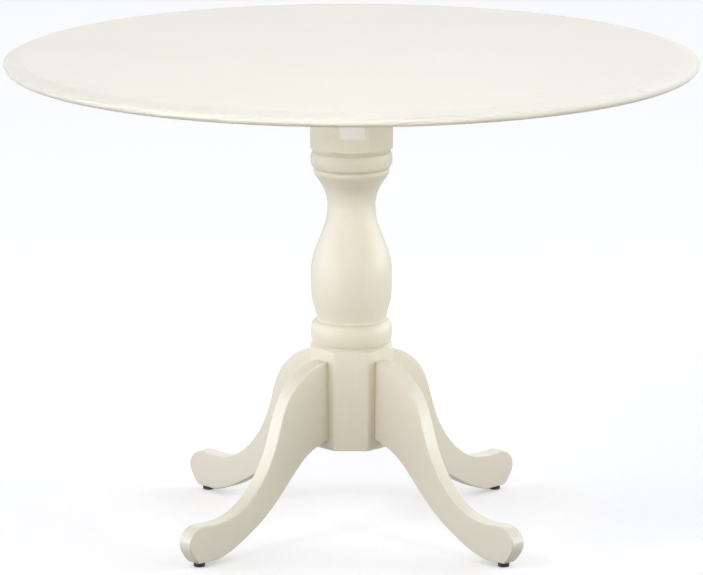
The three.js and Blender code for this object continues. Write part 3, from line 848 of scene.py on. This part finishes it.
class Studio:
    """Adds up bands of light around the table in the world's node tree."""

    def __init__(self, tree):
        self.tree = tree
        self.axes = tree.nodes.new("ShaderNodeSeparateXYZ")
        direction = tree.nodes.new("ShaderNodeTexCoord").outputs["Generated"]
        tree.links.new(direction, self.axes.inputs[0])
        self.total = None

    def calc(self, op, *values):
        node = self.tree.nodes.new("ShaderNodeMath")
        node.operation = op
        for socket, value in zip(node.inputs, values):
            if isinstance(value, bpy.types.NodeSocket):
                self.tree.links.new(value, socket)
            else:
                socket.default_value = value
        return node.outputs[0]

    def band(self, stops):
        """Brightness by height; a stop is (sine of the elevation, value)."""
        ramp = self.tree.nodes.new("ShaderNodeValToRGB")
        height = self.calc("MULTIPLY_ADD", self.axes.outputs["Z"], 0.5, 0.5)
        self.tree.links.new(height, ramp.inputs[0])
        elements = ramp.color_ramp.elements
        while len(elements) < len(stops):
            elements.new(0.5)
        for element, (z, value) in zip(elements, stops):
            element.position, element.color = z / 2 + 0.5, (value, value, value, 1)
        return ramp.outputs[0]

    def side(self, heading):
        """1 toward the heading, falling off to nothing a quarter turn away; 0 is +X, 90 is +Y."""
        turn = math.radians(heading)
        along = self.calc("ADD", *(self.calc("MULTIPLY", self.axes.outputs[a], f)
                                   for a, f in (("X", math.cos(turn)), ("Y", math.sin(turn)))))
        flat = self.calc("ADD", *(self.calc("POWER", self.axes.outputs[a], 2) for a in "XY"))
        share = self.calc("DIVIDE", self.calc("MAXIMUM", along, 0),
                          self.calc("SQRT", self.calc("MAXIMUM", flat, 1e-6)))
        return self.calc("POWER", share, 4)

    def wall(self, name, band, heading, colour):
        """Adds one band of light, on one side of the room or all round it."""
        tint = self.tree.nodes.new("ShaderNodeVectorMath")
        tint.label, tint.operation, tint.inputs[1].default_value = name, "MULTIPLY", colour
        mask = self.band(band)
        if heading is not None:
            mask = self.calc("MULTIPLY", mask, self.side(heading))
        self.tree.links.new(mask, tint.inputs[0])
        if self.total is not None:
            both = self.tree.nodes.new("ShaderNodeVectorMath")
            self.tree.links.new(self.total, both.inputs[0])
            self.tree.links.new(tint.outputs[0], both.inputs[1])
            self.total = both.outputs[0]
        else:
            self.total = tint.outputs[0]


BELOW = [(-1, 1), (-0.02, 1), (0.03, 0)]
LOW = [(-0.02, 0), (0.03, 1), (0.2, 1), (0.35, 0)]
MIDDLE = [(0.2, 0), (0.35, 1), (0.6, 1), (0.8, 0)]
HIGH = [(0.6, 0), (0.8, 1), (1, 1)]
studio = Studio(world.node_tree)
for name, band, heading, colour in (
        ("right_low", LOW, 0, (5.8, 6.0, 6.15)), ("left_low", LOW, 180, (4.15, 4.45, 5.4)),
        ("back_low", LOW, 90, (1.4, 1.27, 1.16)), ("right_middle", MIDDLE, 0, (0.93, 1.0, 1.26)),
        ("left_middle", MIDDLE, 180, (1.9, 1.96, 2.2)), ("back_right", MIDDLE, 45, (1.3, 1.5, 1.7)),
        ("back_middle", MIDDLE, 90, (1.27, 1.26, 1.2)), ("high", HIGH, None, (0.29, 0.30, 0.31)),
        ("below", BELOW, None, (0.058, 0.056, 0.049))):
    studio.wall(name, band, heading, colour)
world.node_tree.links.new(studio.total, world.node_tree.nodes["Background"].inputs["Color"])


def softbox(name, at, aim, size, power, colour=(1, 1, 1), spread=180, glossy=True):
    light = bpy.data.lights.new(name, "AREA")
    light.shape, light.size, light.size_y = "RECTANGLE", size[0], size[1]
    light.energy, light.color, light.spread = power, colour, math.radians(spread)
    obj = bpy.data.objects.new(name, light)
    bpy.context.scene.collection.objects.link(obj)
    obj.location = at
    obj.rotation_euler = (Vector(aim) - Vector(at)).to_track_quat("-Z", "Y").to_euler()
    obj.visible_camera, obj.visible_glossy = False, glossy


softbox("front_high", (-0.5, -4.2, 3.1), (0, 0, 0.4), (3.0, 1.6), 17, (0.86, 0.97, 1.0))
softbox("left_high", (-3.0, -3.0, 4.2), (0, 0, 0.2), (1.5, 1.5), 36, (0.98, 0.95, 0.94))
softbox("right_high", (3.0, -3.0, 4.2), (0, 0, 0.2), (1.5, 1.5), 28, (0.98, 0.96, 0.96))
softbox("top_front", (0, -2.6, 4.4), (0, 0, 0.2), (2.4, 1.4), 9, (0.5, 0.72, 1.0))
softbox("front_low", (0, -3.2, 0.42), (0, 0, 0.55), (1.2, 0.5), 0.8, (1.0, 0.98, 0.94), 29, False)
softbox("front_block", (0, -3.2, 0.42), (0, 0, 0.70), (1.0, 0.3), 0.36, (1.0, 0.985, 0.97), 16,
        False)
softbox("front_middle", (0, -4.6, 2.45), (0, 0, 0.42), (0.7, 0.25), 0.35, (0.96, 0.98, 1.0), 12)
softbox("left_low", (-2.6, -2.4, 0.35), (0, 0, 0.58), (0.9, 0.7), 2.3, (1.0, 0.98, 0.93), 60)

cam = bpy.data.cameras.new("camera")
cam.lens, cam.sensor_width, cam.clip_end = 239.3, 36, 200
camera = bpy.data.objects.new("camera", cam)
bpy.context.scene.collection.objects.link(camera)
camera.location = (0, -7.081, 1.923)
camera.rotation_euler = (math.radians(90 - 12.27), 0, 0)
bpy.context.scene.camera = camera
bpy.context.scene.view_settings.view_transform = "Standard"

bpy.context.view_layer.update()
